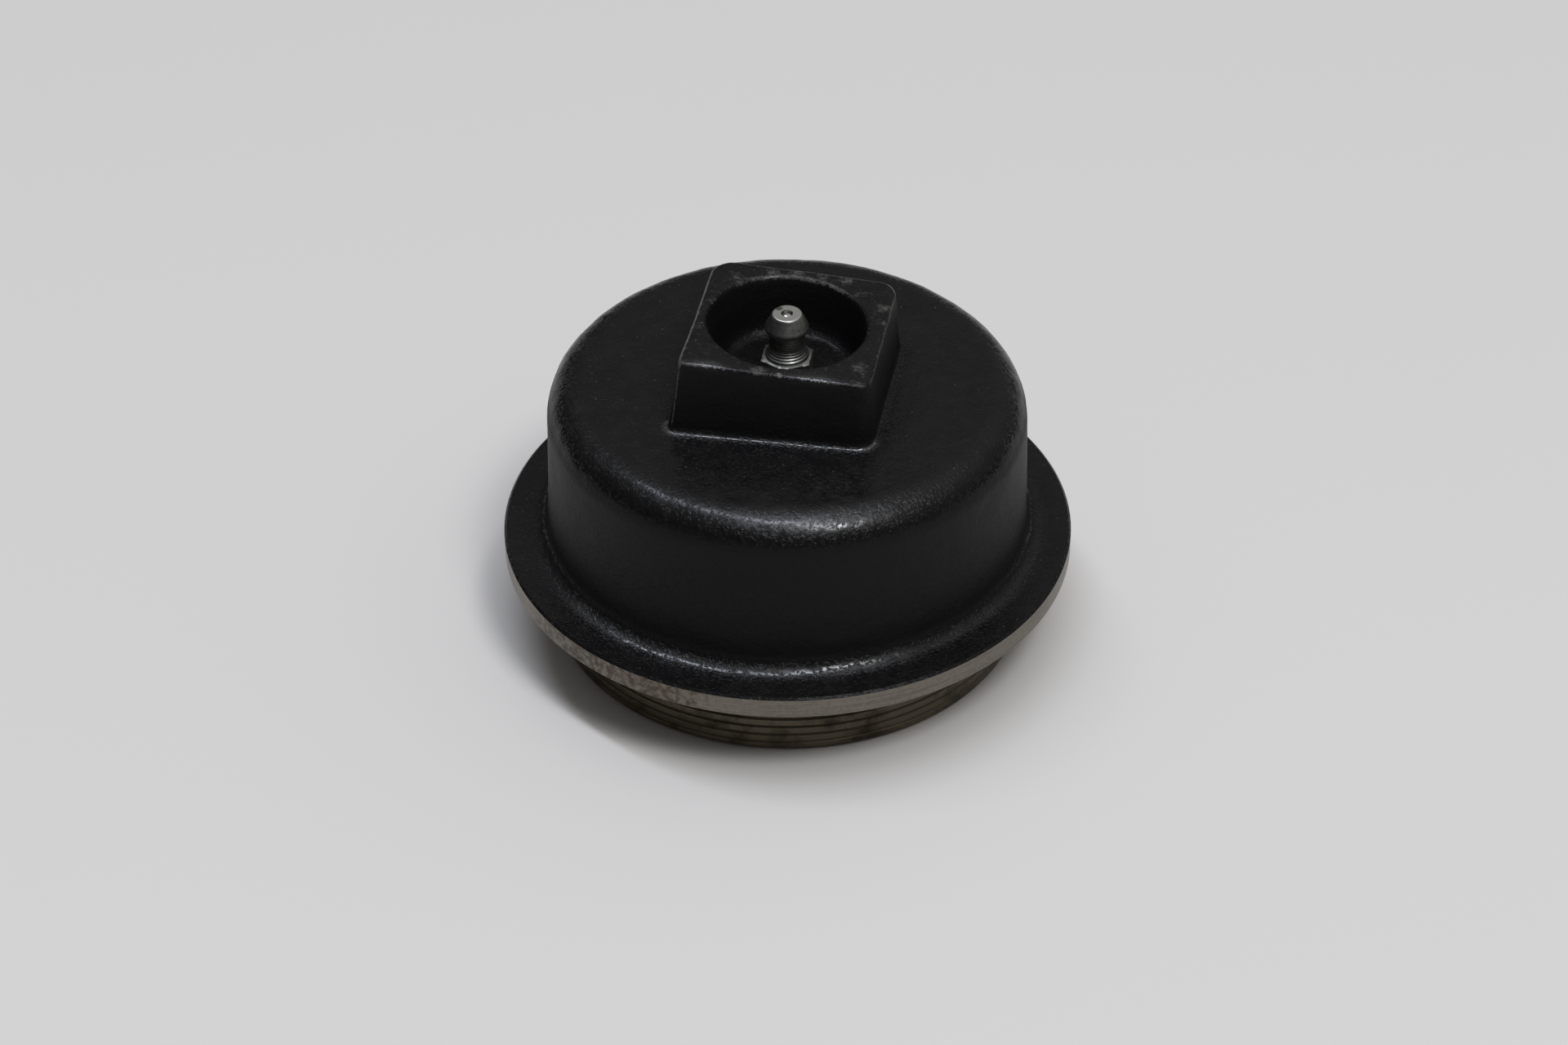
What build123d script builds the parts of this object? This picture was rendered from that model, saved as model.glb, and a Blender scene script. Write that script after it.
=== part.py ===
from build123d import *
import os
from math import cos, radians, sqrt, tan

# Hub grease cap: an iron casting that screws into a wheel hub, with a grease nipple in its square boss.
# Origin at the centre of the spigot's end face, +Z out of the hub, millimetres.

# Flange, cast with the dome and turned on its rim and its seat
flange_diameter = 87.0
flange_thickness = 3.7
flange_edge_break = 0.35
ledge_width = 6.8
seat_clearance = 0.3

# Spigot with a fine hub thread, at the thread's major diameter
thread_diameter = 72.0
thread_pitch = 1.5
spigot_length = 12.8
spigot_wall = 5.0
bore_edge_break = 0.6
relief_width = 1.8
relief_clearance = 0.2
relief_face_depth = 0.3

# Dome, with the draft that lets it leave the mould
dome_height = 25.7
dome_draft = 1.5
dome_base_fillet = 2.8
dome_shoulder_radius = 5.6

# Cavity that the core leaves, filled with grease in use
crown_thickness = 6.3
cavity_draft = 1.5
cavity_corner_radius = 5.0

# Square boss for the spanner
boss_width = 28.0
boss_height = 11.1
boss_draft = 4.3
boss_corner_radius = 2.6
boss_edge_radius = 0.7
boss_base_fillet = 1.0

# Round cup in the boss, which shields the nipple
cup_diameter = 24.3
cup_depth = 9.3
cup_draft = 8.0
cup_floor_fillet = 2.2
cup_lip_radius = 0.4

# Grease nipple: hexagon, flared neck, coupler head and threaded shank at its pitch diameter
hex_across_flats = 7.0
hex_height = 2.75
hex_chamfer = 0.45
hex_angle = 26.5
flare_diameter = 6.7
flare_height = 2.75
neck_diameter = 5.0
neck_length = 2.05
head_diameter = 6.5
head_underside = 0.6
head_band = 0.35
head_cone_height = 2.2
tip_diameter = 4.2
shank_diameter = 5.35
shank_length = 5.5
shank_chamfer = 0.5
shank_clearance = 0.02

# Nipple valve: ball on a conical seat, pushed up by a coil spring on the rolled end of the shank
orifice_diameter = 1.8
orifice_land = 0.45
ball_diameter = 2.4
ball_seat_gap = 0.02
ball_bore_clearance = 0.25
outlet_diameter = 1.6
outlet_lip = 0.6
spring_wire = 0.34
spring_turns = 6
spring_bore_clearance = 0.12
spring_end_gap = 0.02

# Heights and radii that follow from the sizes above
flange_top = spigot_length + flange_thickness
dome_top = flange_top + dome_height
boss_top = dome_top + boss_height
cup_floor = boss_top - cup_depth
cavity_top = dome_top - crown_thickness
thread_depth = 0.6134 * thread_pitch
hex_top = cup_floor + hex_height
flare_top = hex_top + flare_height
neck_top = flare_top + neck_length
band_bottom = neck_top + head_underside
band_top = band_bottom + head_band
tip_height = band_top + head_cone_height
shank_end = cup_floor - shank_length
ball_radius = ball_diameter / 2
seat_height = tip_height - orifice_land
ball_height = seat_height - sqrt(ball_radius**2 - (orifice_diameter / 2) ** 2) - ball_seat_gap
valve_bore_radius = ball_radius + ball_bore_clearance


def turned(points, rounded=()):
    """Revolve a closed outline of (radius, height) points, with some of its corners rounded."""
    with BuildSketch(Plane.XZ) as outline:
        with BuildLine():
            Polyline(*points, close=True)
        make_face()
        for corner, radius in rounded:
            fillet(outline.vertices().sort_by_distance(Vector(corner[0], corner[1], 0))[0], radius)
    return revolve(outline.sketch, axis=Axis.Z)


def cap_blank():
    """Dome, flange and spigot as one solid of revolution, before the cavity."""
    thread_radius = thread_diameter / 2
    relief_depth = thread_depth + relief_clearance
    relief_radius = thread_radius - relief_depth
    relief_bottom = spigot_length - relief_width
    flange_radius = flange_diameter / 2
    seat_radius = thread_radius + seat_clearance
    relief_top = spigot_length + relief_face_depth
    dome_radius = flange_radius - ledge_width
    dome_base = (dome_radius, flange_top)
    dome_shoulder = (dome_radius - dome_height * tan(radians(dome_draft)), dome_top)
    outline = [
        (0, 0),
        (thread_radius - thread_depth, 0),
        (thread_radius, thread_depth),
        (thread_radius, relief_bottom - relief_depth),
        (relief_radius, relief_bottom),
        (relief_radius, relief_top),
        (seat_radius, relief_top),
        (seat_radius, spigot_length),
        (flange_radius - flange_edge_break, spigot_length),
        (flange_radius, spigot_length + flange_edge_break),
        (flange_radius, flange_top - flange_edge_break),
        (flange_radius - flange_edge_break, flange_top),
        dome_base,
        dome_shoulder,
        (0, dome_top),
    ]
    return turned(outline, [(dome_base, dome_base_fillet), (dome_shoulder, dome_shoulder_radius)])


def cavity():
    """Machined bore of the spigot, then the cored space inside the dome."""
    bore_radius = thread_diameter / 2 - spigot_wall
    corner = (bore_radius - (cavity_top - flange_top) * tan(radians(cavity_draft)), cavity_top)
    outline = [
        (0, 0),
        (bore_radius + bore_edge_break, 0),
        (bore_radius, bore_edge_break),
        (bore_radius, flange_top),
        corner,
        (0, cavity_top),
    ]
    return turned(outline, [(corner, cavity_corner_radius)])


def cup():
    """Round cup sunk in the boss, drafted, with a soft lip and a filleted floor."""
    mouth_radius = cup_diameter / 2
    slope = tan(radians(cup_draft))
    lip = (mouth_radius, boss_top)
    floor_edge = (mouth_radius - cup_depth * slope, cup_floor)
    above = boss_top + cup_lip_radius
    outline = [(0, cup_floor), floor_edge, lip, (mouth_radius + boss_width, boss_top)]
    outline += [(mouth_radius + boss_width, above), (0, above)]
    return turned(outline, [(floor_edge, cup_floor_fillet), (lip, cup_lip_radius)])


def square_boss():
    """Drafted square boss with rounded corners and a softened top edge."""
    foot_width = boss_width + 2 * boss_height * tan(radians(boss_draft))
    foot_corner = boss_corner_radius + boss_height * tan(radians(boss_draft))
    foot = Plane.XY.offset(dome_top) * RectangleRounded(foot_width, foot_width, foot_corner)
    boss = extrude(foot, amount=boss_height, taper=boss_draft)
    top_edges = boss.faces().sort_by(Axis.Z)[-1].edges()
    return fillet(top_edges, boss_edge_radius)


def cap_body():
    body = cap_blank() + square_boss()
    at_dome_top = body.edges().filter_by_position(Axis.Z, dome_top, dome_top)
    foot_edges = [edge for edge in at_dome_top if edge.length < 2 * boss_width]
    body = fillet(foot_edges, boss_base_fillet)
    hole = Pos(0, 0, (cavity_top + cup_floor) / 2) * Cylinder(
        shank_diameter / 2 + shank_clearance, 2 * (cup_floor - cavity_top)
    )
    return body - cavity() - cup() - hole


def hexagon():
    """Hexagon of the nipple, with its top corners turned off."""
    flats = RegularPolygon(hex_across_flats / 2, 6, major_radius=False, rotation=hex_angle)
    prism = extrude(Plane.XY.offset(cup_floor) * flats, amount=hex_height)
    corner_radius = hex_across_flats / 2 / cos(radians(30))
    blank = [
        (0, cup_floor),
        (corner_radius, cup_floor),
        (corner_radius, hex_top - hex_chamfer),
        (hex_across_flats / 2, hex_top),
        (0, hex_top),
    ]
    return prism & turned(blank)


def nipple_body():
    shank_radius = shank_diameter / 2
    flare_radius = flare_diameter / 2
    neck_radius = neck_diameter / 2
    head_radius = head_diameter / 2
    stem = turned([
        (0, shank_end),
        (shank_radius - shank_chamfer, shank_end),
        (shank_radius, shank_end + shank_chamfer),
        (shank_radius, hex_top),
        (0, hex_top),
    ])
    with BuildSketch(Plane.XZ) as upper:
        with BuildLine():
            Line((0, hex_top), (flare_radius, hex_top))
            TangentArc((flare_radius, hex_top), (neck_radius, flare_top), tangent=(0, 1))
            Polyline(
                (neck_radius, flare_top),
                (neck_radius, neck_top),
                (head_radius, band_bottom),
                (head_radius, band_top),
                (tip_diameter / 2, tip_height),
                (0, tip_height),
                (0, hex_top),
            )
        make_face()
    body = stem + hexagon() + revolve(upper.sketch, axis=Axis.Z)
    seat_drop = valve_bore_radius - orifice_diameter / 2
    valve_bore = turned([
        (0, shank_end),
        (outlet_diameter / 2, shank_end),
        (outlet_diameter / 2, shank_end + outlet_lip),
        (valve_bore_radius, shank_end + outlet_lip),
        (valve_bore_radius, seat_height - seat_drop),
        (orifice_diameter / 2, seat_height),
        (orifice_diameter / 2, tip_height),
        (0, tip_height),
    ])
    return body - valve_bore


def check_ball():
    return Pos(0, 0, ball_height) * Sphere(ball_radius)


def check_spring():
    """Coil spring from the rolled lip of the shank up to the underside of the ball."""
    coil_radius = valve_bore_radius - spring_bore_clearance - spring_wire / 2
    reach = ball_radius + spring_wire / 2 + spring_end_gap
    top = ball_height - sqrt(reach**2 - coil_radius**2)
    bottom = shank_end + outlet_lip + spring_wire / 2 + spring_end_gap
    coil = Helix(
        pitch=(top - bottom) / spring_turns,
        height=top - bottom,
        radius=coil_radius,
        center=(0, 0, bottom),
    )
    wire = Plane(origin=coil @ 0, z_dir=coil % 0) * Circle(spring_wire / 2)
    return sweep(wire, path=coil)


nodes = {
    "cap_body": cap_body,
    "nipple_body": nipple_body,
    "check_ball": check_ball,
    "check_spring": check_spring,
}

os.makedirs("parts", exist_ok=True)
for name, make in nodes.items():
    export_step(make(), f"parts/{name}.step")
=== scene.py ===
import bmesh
import bpy
import math
import numpy as np
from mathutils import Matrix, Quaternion, Vector


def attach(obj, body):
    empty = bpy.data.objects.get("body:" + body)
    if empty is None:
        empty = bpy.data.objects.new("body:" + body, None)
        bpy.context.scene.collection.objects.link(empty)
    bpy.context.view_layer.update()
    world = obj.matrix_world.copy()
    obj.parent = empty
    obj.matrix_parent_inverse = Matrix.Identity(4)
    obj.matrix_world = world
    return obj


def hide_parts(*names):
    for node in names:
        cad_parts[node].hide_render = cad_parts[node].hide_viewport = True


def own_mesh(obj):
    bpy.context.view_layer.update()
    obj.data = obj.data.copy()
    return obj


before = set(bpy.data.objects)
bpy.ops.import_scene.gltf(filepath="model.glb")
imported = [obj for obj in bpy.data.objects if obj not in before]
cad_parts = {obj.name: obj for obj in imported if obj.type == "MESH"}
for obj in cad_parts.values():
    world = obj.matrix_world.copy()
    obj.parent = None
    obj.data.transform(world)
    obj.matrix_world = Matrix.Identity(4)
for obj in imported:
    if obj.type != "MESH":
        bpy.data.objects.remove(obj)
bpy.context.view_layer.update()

mm = 0.001
slack = 0.05  # mm, for telling apart the regions of a section
fineSlack = 0.02
print("frame loaded")


# outlines: drawn in the XZ plane as (radius, height, corner rounding) in mm, then spun

def freshStart():
    if bpy.context.object and bpy.context.object.mode != "OBJECT":
        bpy.ops.object.mode_set(mode="OBJECT")
    bpy.ops.object.select_all(action="DESELECT")


def pickPoints(piece, spots):
    # selects the outline's vertex nearest to each (radius, height) spot
    shape = bmesh.from_edit_mesh(piece.data)
    bpy.ops.mesh.select_all(action="DESELECT")
    for r, z in spots:
        spot = Vector((r * mm, 0, z * mm))
        min(shape.verts, key=lambda v: (v.co - spot).length).select = True
    shape.select_flush(True)
    bmesh.update_edit_mesh(piece.data)


def drawOutline(name, outline):
    # a plane merged to one vertex, which is extruded from point to point and closed
    freshStart()
    start = (outline[0][0] * mm, 0, outline[0][1] * mm)
    bpy.ops.mesh.primitive_plane_add(size=mm, location=start)
    piece = bpy.context.object
    piece.name = name
    piece.data.name = name
    bpy.ops.object.transform_apply(location=True, rotation=False, scale=False)
    bpy.ops.object.mode_set(mode="EDIT")
    bpy.ops.mesh.select_all(action="SELECT")
    bpy.ops.mesh.merge(type="CENTER")
    for (r0, z0, _), (r1, z1, _) in zip(outline, outline[1:]):
        step = ((r1 - r0) * mm, 0, (z1 - z0) * mm)
        bpy.ops.mesh.extrude_vertices_move(TRANSFORM_OT_translate={"value": step})
    pickPoints(piece, [outline[0][:2], outline[-1][:2]])
    bpy.ops.mesh.edge_face_add()
    for before, corner, after in zip(outline, outline[1:], outline[2:]):
        if corner[2] > 0:
            roundCorner(piece, before[:2], corner[:2], after[:2], corner[2])
    return piece


def roundCorner(piece, before, corner, after, radius):
    # a vertex bevel, whose setback comes from the corner's angle
    toBefore = Vector(before) - Vector(corner)
    toAfter = Vector(after) - Vector(corner)
    between = toBefore.angle(toAfter)
    segmentLength = 0.7
    segments = max(3, math.ceil(radius * (math.pi - between) / segmentLength))
    pickPoints(piece, [corner])
    bpy.ops.mesh.bevel(offset=radius / math.tan(between / 2) * mm, affect="VERTICES",
                       segments=segments, profile=0.5)


def divideOutline(piece, rowHeight):
    # cuts each long stretch into rows, as high as rowHeight(radius, height) allows
    shape = bmesh.from_edit_mesh(piece.data)
    stretches = [(edge.verts[0].co.copy(), edge.verts[1].co.copy()) for edge in shape.edges]
    for low, high in stretches:
        middle = (low + high) / 2
        rows = math.ceil((high - low).length / mm / rowHeight(middle.x / mm, middle.z / mm))
        if rows < 2:
            continue
        shape = bmesh.from_edit_mesh(piece.data)
        bpy.ops.mesh.select_all(action="DESELECT")
        for edge in shape.edges:
            centre = (edge.verts[0].co + edge.verts[1].co) / 2
            edge.select = (centre - middle).length < 1e-7
        bmesh.update_edit_mesh(piece.data)
        bpy.ops.mesh.subdivide(number_cuts=rows - 1)


def spinRound(piece, steps):
    bpy.ops.mesh.select_all(action="SELECT")
    bpy.ops.mesh.spin(steps=steps, angle=2 * math.pi, center=(0, 0, 0), axis=(0, 0, 1))
    bpy.ops.mesh.select_all(action="SELECT")
    bpy.ops.mesh.remove_doubles(threshold=0.001 * mm)
    bpy.ops.mesh.normals_make_consistent(inside=False)
    bpy.ops.object.mode_set(mode="OBJECT")
    bpy.ops.object.shade_smooth()


def readPoints(piece):
    co = np.empty(len(piece.data.vertices) * 3)
    piece.data.vertices.foreach_get("co", co)
    return co.reshape(-1, 3) / mm


def writePoints(piece, co):
    piece.data.vertices.foreach_set("co", (co * mm).ravel())
    piece.data.update()


def polar(co):
    return np.hypot(co[:, 0], co[:, 1]), np.arctan2(co[:, 1], co[:, 0]), co[:, 2].copy()


def keepSharp(piece, outline):
    # turned corners that aren't rounded stay crisp all the way round
    r, _, z = polar(readPoints(piece))
    corner = np.zeros(len(r), bool)
    for cornerR, cornerZ, rounding in outline:
        if rounding == 0:
            corner |= (np.abs(r - cornerR) < fineSlack) & (np.abs(z - cornerZ) < fineSlack)
    for edge in piece.data.edges:
        a, b = edge.vertices
        edge.use_edge_sharp = bool(corner[a] and corner[b] and abs(z[a] - z[b]) < fineSlack)


def pointAttribute(piece, name, values):
    layer = piece.data.attributes.new(name, "FLOAT", "POINT")
    layer.data.foreach_set("value", values.astype(np.float32))


def ease(t):
    t = np.clip(t, 0, 1)
    return t * t * (3 - 2 * t)


def slope(degrees):
    return math.tan(math.radians(degrees))


# the cap: one iron casting with a turned rim, seat and spigot, sizes in mm

cap = {
    "rim": 43.5, "flange": 3.7, "edgeBreak": 0.35, "ledge": 6.8, "seatGap": 0.3,
    "thread": 36.0, "pitch": 1.5, "threadDepth": 0.92, "spigot": 12.8, "spigotWall": 5.0,
    "boreBreak": 0.6, "reliefWidth": 1.8, "reliefDepth": 1.12, "reliefFace": 0.3,
    "dome": 25.7, "domeDraft": 1.5, "baseFillet": 2.8, "shoulder": 5.6,
    "crown": 6.3, "cavityDraft": 1.5, "cavityCorner": 5.0,
    "bossWidth": 28.0, "boss": 11.1, "bossDraft": 4.3, "bossEdge": 0.7, "bossFillet": 0.5,
    "bossBlend": 27.0, "cornerFrontLeft": 1.0, "cornerFrontRight": 1.5, "cornerBackRight": 3.0,
    "cornerBackLeft": 3.6,
    "cupWidth": 23.7, "cup": 9.3, "cupDraft": 8.0, "cupCorner": 2.2, "cupLip": 0.9,
    "nippleHole": 2.695, "steps": 320,
    "bossShift": (0.79, -0.1), "bossLean": (-0.043, -0.022), "domeLean": (-0.011, 0.012),
    "frontLeftPull": (-0.75, -0.2), "frontRightPull": (-0.4, 0.0), "footPull": 1.1,
    "frontAngle": -80.9, "grooveAtFront": 1.807, "groove": 0.3, "crest": 1.05, "flankAngle": 30,
    "lipToSquare": 0.6, "leastCorner": 0.4, "leanRise": 1.5,
    "skinStart": 0.4, "skinFade": 1.2, "broadLumps": (7.0, 0.25), "smallLumps": (2.0, 0.08),
    "ceilingSlack": 0.5,
}
rows = {"thread": 0.1, "cavity": 3.0, "bossTop": 0.25, "boss": 0.7, "skin": 0.9, "margin": 0.2}

flangeTop = cap["spigot"] + cap["flange"]
domeTop = flangeTop + cap["dome"]
bossTop = domeTop + cap["boss"]
cupFloor = bossTop - cap["cup"]
cavityTop = domeTop - cap["crown"]
domeBase = cap["rim"] - cap["ledge"]
bossHalf = cap["bossWidth"] / 2
bossFoot = bossHalf + cap["boss"] * slope(cap["bossDraft"])
cupMouth = cap["cupWidth"] / 2
bore = cap["thread"] - cap["spigotWall"]
inWall = bore + 1  # parts the cavity from the outer skin
threadTop = cap["spigot"] - cap["reliefWidth"] - cap["reliefDepth"]


def fromFront(angle):
    # degrees round the axis from the cap's front, more to the right
    return (np.degrees(angle) - cap["frontAngle"] + 180) % 360 - 180


def sweep(across, start, end, startFade, endFade, least):
    # 1 between two angles from the front, and least beyond them
    return least + (1 - least) * ease((across - start) / startFade) * ease((end - across) / endFade)


def capOutline():
    core = cap["thread"] - cap["reliefDepth"]
    seatStart = cap["thread"] + cap["seatGap"]
    reliefTop = cap["spigot"] + cap["reliefFace"]
    rimEdge = cap["rim"] - cap["edgeBreak"]
    return [
        (cap["nippleHole"], cupFloor, 0),
        (cupMouth - cap["cup"] * slope(cap["cupDraft"]), cupFloor, cap["cupCorner"]),
        (cupMouth, bossTop, cap["cupLip"]),
        (bossHalf, bossTop, cap["bossEdge"]),
        (bossFoot, domeTop, cap["bossFillet"]),
        (domeBase - cap["dome"] * slope(cap["domeDraft"]), domeTop, cap["shoulder"]),
        (domeBase, flangeTop, cap["baseFillet"]),
        (rimEdge, flangeTop, 0),
        (cap["rim"], flangeTop - cap["edgeBreak"], 0),
        (cap["rim"], cap["spigot"] + cap["edgeBreak"], 0),
        (rimEdge, cap["spigot"], 0),
        (seatStart, cap["spigot"], 0),
        (seatStart, reliefTop, 0),
        (core, reliefTop, 0),
        (core, threadTop + cap["reliefDepth"], 0),
        (cap["thread"], threadTop, 0),
        (cap["thread"], cap["threadDepth"], 0),
        (cap["thread"] - cap["threadDepth"], 0, 0),
        (bore + cap["boreBreak"], 0, 0),
        (bore, cap["boreBreak"], 0),
        (bore, flangeTop, 0),
        (bore - (cavityTop - flangeTop) * slope(cap["cavityDraft"]), cavityTop, cap["cavityCorner"]),
        (cap["nippleHole"], cavityTop, 0),
    ]


def capRows(r, z):
    # fine rows for the thread and the boss's top, coarse ones out of sight
    onThread = r > cap["thread"] - slack and z < threadTop
    inCavity = r < inWall and z < cavityTop + slack
    if onThread:
        return rows["thread"]
    if inCavity:
        return rows["cavity"]
    if z > bossTop - rows["margin"]:
        return rows["bossTop"]
    return rows["boss"] if z > domeTop + rows["margin"] else rows["skin"]


def roundedSquare(angle, half, corner):
    # reach from the axis to a square of that half width with rounded corners
    c, s = np.abs(np.cos(angle)), np.abs(np.sin(angle))
    c, s = np.maximum(c, s), np.minimum(c, s)
    inset = half - corner
    along = inset * (c + s)
    bend = along + np.sqrt(np.maximum(along ** 2 - 2 * inset ** 2 + corner ** 2, 0))
    return np.where(half * s / c <= inset, half / c, bend)


def cornerRounding(angle):
    # each corner of the boss came out of its mould a little differently
    front = np.sin(angle) < 0
    left = np.cos(angle) < 0
    frontCorner = np.where(left, cap["cornerFrontLeft"], cap["cornerFrontRight"])
    backCorner = np.where(left, cap["cornerBackLeft"], cap["cornerBackRight"])
    return np.where(front, frontCorner, backCorner)


def squareBoss(piece):
    # pulls the boss's round rings out to a square, shifts it and leans it as it was cast
    co = readPoints(piece)
    r, angle, z = polar(co)
    outside = (z > domeTop - fineSlack) & (r > cupMouth - fineSlack)
    square = ease((r - cupMouth - cap["cupLip"]) / cap["lipToSquare"])
    footEnd = bossFoot + cap["bossFillet"]
    fade = ease((cap["bossBlend"] - r) / (cap["bossBlend"] - footEnd))
    square = np.where(outside, np.where(r > footEnd - slack, fade, square), 0)
    corner = np.maximum(cornerRounding(angle) + r - bossHalf, cap["leastCorner"])
    reach = r * (1 - square) + square * roundedSquare(angle, r, corner)
    co[:, 0] = reach * np.cos(angle)
    co[:, 1] = reach * np.sin(angle)
    across = np.clip(co[:, 0] / bossHalf, -1, 1)
    frontShare = (1 - np.clip(co[:, 1] / bossHalf, -1, 1)) / 2
    pull = square * (1 + cap["footPull"] * np.clip((bossTop - z) / cap["boss"], 0, 1))
    for pullName, share in (("frontLeftPull", (1 - across) / 2), ("frontRightPull", (1 + across) / 2)):
        co[:, :2] += (pull * frontShare * share)[:, None] * np.array(cap[pullName])
    co[:, :2] += square[:, None] * np.array(cap["bossShift"])
    outerSkin = (z > cavityTop + slack) | (r > inWall)
    domeShare = np.where(outerSkin, np.clip((z - flangeTop) / cap["dome"], 0, 1), 0)
    bossRise = np.clip((z - domeTop) / cap["boss"], 0, 1) ** cap["leanRise"]
    bossShare = np.where(r < footEnd, bossRise, 0)
    co[:, 2] += domeShare * (co[:, :2] @ np.array(cap["domeLean"]))
    co[:, 2] += bossShare * (co[:, :2] @ np.array(cap["bossLean"]))
    writePoints(piece, co)


def cutThread(piece):
    # a worn right-hand thread with broad crests, sunk into the spigot's plain rings
    co = readPoints(piece)
    r, angle, z = polar(co)
    turn = (angle - math.radians(cap["frontAngle"])) / (2 * math.pi)
    phase = (z - cap["grooveAtFront"]) / cap["pitch"] - turn
    fromRoot = np.abs(phase - np.round(phase)) * cap["pitch"]
    flankWidth = cap["groove"] * slope(cap["flankAngle"])
    flankStart = (cap["pitch"] - cap["crest"]) / 2 - flankWidth
    flank = np.clip((fromRoot - flankStart) / flankWidth, 0, 1)
    threaded = cap["thread"] - cap["groove"] * (1 - flank)
    onThread = (r > cap["thread"] - cap["reliefDepth"] - slack) & (r < cap["thread"] + slack)
    onThread &= (z > fineSlack) & (z < cap["spigot"] - cap["reliefWidth"] - fineSlack)
    scale = np.where(onThread, np.minimum(r, threaded) / np.maximum(r, 1e-6), 1)
    co[:, :2] *= scale[:, None]
    writePoints(piece, co)


def skinGroup(piece, r, z):
    # weight 1 on the painted skin and in the cored cavity, none on turned faces
    painted = (z > flangeTop + slack) & (r > cap["nippleHole"] + slack)
    inCavity = (r < bore - slack) & (z > flangeTop)
    offRim = ease((cap["rim"] - cap["skinStart"] - r) / cap["skinFade"])
    weight = np.where(painted | inCavity, offRim, 0)
    group = piece.vertex_groups.new(name="castSkin")
    for index in np.nonzero(weight > 0)[0]:
        group.add([int(index)], float(weight[index]), "REPLACE")


def mouldLumps(piece, name, lump, depth):
    # shallow unevenness of the sand mould
    texture = bpy.data.textures.new(name, "CLOUDS")
    texture.noise_scale = lump * mm
    texture.noise_depth = 1
    rough = piece.modifiers.new(name, "DISPLACE")
    rough.texture = texture
    rough.texture_coords = "LOCAL"
    rough.vertex_group = "castSkin"
    rough.strength = depth * mm
    rough.mid_level = 0.5
    bpy.context.view_layer.objects.active = piece
    bpy.ops.object.modifier_apply(modifier=name)


# thick glossy paint, and thinner paint in the cup
pooled = {
    # widths and places in mm, with stretches of the boss's front edge as (x, width)
    "footLine": 0.4, "baseLine": 1.0, "edgeLine": 0.4, "shoulderBand": 1.6, "grainWidth": 1.6,
    "edgeStretches": [(-9.7, 2.2), (6.4, 3.0)], "frontDepth": 2, "cupInset": 0.5, "cupTop": 1,
    # strengths
    "base": 0.45, "shoulder": 0.4, "shoulderLeast": 0.12, "cup": -0.07,
    # degrees up the section and round the cap
    "tilt": 64, "baseSweep": (-65, 32, 15, 15, 0.2), "shoulderAt": 7, "shoulderSpread": 17,
}

# where paint has gone, spots on the boss's top as (x, y, size, strength) in mm, and where rust and
# painted shade lie
wear = {
    "lineWidth": 0.3, "lipWidth": 1.1, "streakWidth": 0.8, "top": 0.39, "lip": 0.62,
    "corner": 0.7, "cornerAngle": -135, "streak": 0.8, "streakAngle": 42,
    "edgeInset": 0.2, "edgeLeast": 0.1, "lipLeast": 0.4, "sideGain": 1.5, "sideStart": 0.4,
    "wallFoot": 1, "wallInset": 0.1, "topDepth": 0.6, "topInset": 0.5,
    "rustAndShadeSweep": (-75, 5, 20, 30, 0.25),
    "spots": [
        (-8.8, 9.1, 2.6, 0.55), (-4.1, 11.9, 2.4, 0.6), (-0.6, 12.8, 2.2, 0.65), (3.5, 12.8, 2.4, 0.55),
        (7.2, 12.6, 1.8, 0.65), (13.6, 6.6, 2.4, 0.6), (13.9, 2.8, 2.2, 0.55), (11.9, -9.6, 3.0, 0.6),
        (-2.1, -13.6, 2.4, 0.6), (1.0, -13.8, 0.6, 0.9), (-12.4, -4.0, 2.4, 0.5), (12.4, -12.9, 1.8, 0.6),
        (-11.5, 3.0, 2.4, 0.5), (9.5, 9.6, 2.2, 0.5),
    ],
}


def wornPaint(piece, r, angle, z):
    # r, angle and z are the places on the spun section, before the boss was squared
    co = readPoints(piece)
    left = ease(-wear["sideGain"] * np.cos(angle) - wear["sideStart"])
    back = ease(wear["sideGain"] * np.sin(angle) - wear["sideStart"])
    edgeShare = wear["edgeLeast"] + (1 - wear["edgeLeast"]) * np.maximum(left, back)
    lipShare = wear["lipLeast"] + (1 - wear["lipLeast"]) * back
    fromEdge = np.hypot(r - bossHalf + wear["edgeInset"], z - bossTop + wear["edgeInset"])
    edgeLine = np.exp(-(fromEdge / wear["lineWidth"]) ** 2) * edgeShare
    fromLip = np.hypot(r - cupMouth, z - bossTop)
    lipScuff = wear["lip"] * np.exp(-(fromLip / wear["lipWidth"]) ** 2) * lipShare
    onWall = (z > domeTop + wear["wallFoot"]) & (r > bossHalf - wear["wallInset"]) & (r < bossFoot)
    fromLeftCorner = np.abs(angle - math.radians(wear["cornerAngle"])) * r
    cornerLine = wear["corner"] * np.exp(-(fromLeftCorner / wear["lineWidth"]) ** 2) * onWall
    fromBackCorner = np.abs(angle - math.radians(wear["streakAngle"])) * r
    streak = wear["streak"] * np.exp(-(fromBackCorner / wear["streakWidth"]) ** 2) * onWall
    onTop = (z > bossTop - wear["topDepth"]) & (r > cupMouth - wear["topInset"])
    worn = np.maximum.reduce([edgeLine, lipScuff, cornerLine, streak, wear["top"] * onTop])
    for x, y, size, strength in wear["spots"]:
        distance = np.hypot(co[:, 0] - x, co[:, 1] - y)
        worn = np.maximum(worn, strength * np.exp(-(distance / size) ** 2) * onTop)
    pointAttribute(piece, "wornPaint", worn)


def shinySpot(corner, radius, inner):
    # the spot on a rounded edge, or in an inner corner, that mirrors the ceiling towards the front
    r, z = corner
    tilt = math.radians(pooled["tilt"])
    side = 1 if inner else -1
    return r + side * radius * (1 - math.cos(tilt)), z + side * radius * (1 - math.sin(tilt))


def spotDistance(r, z, spot):
    return np.hypot(r - spot[0], z - spot[1])


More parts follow.
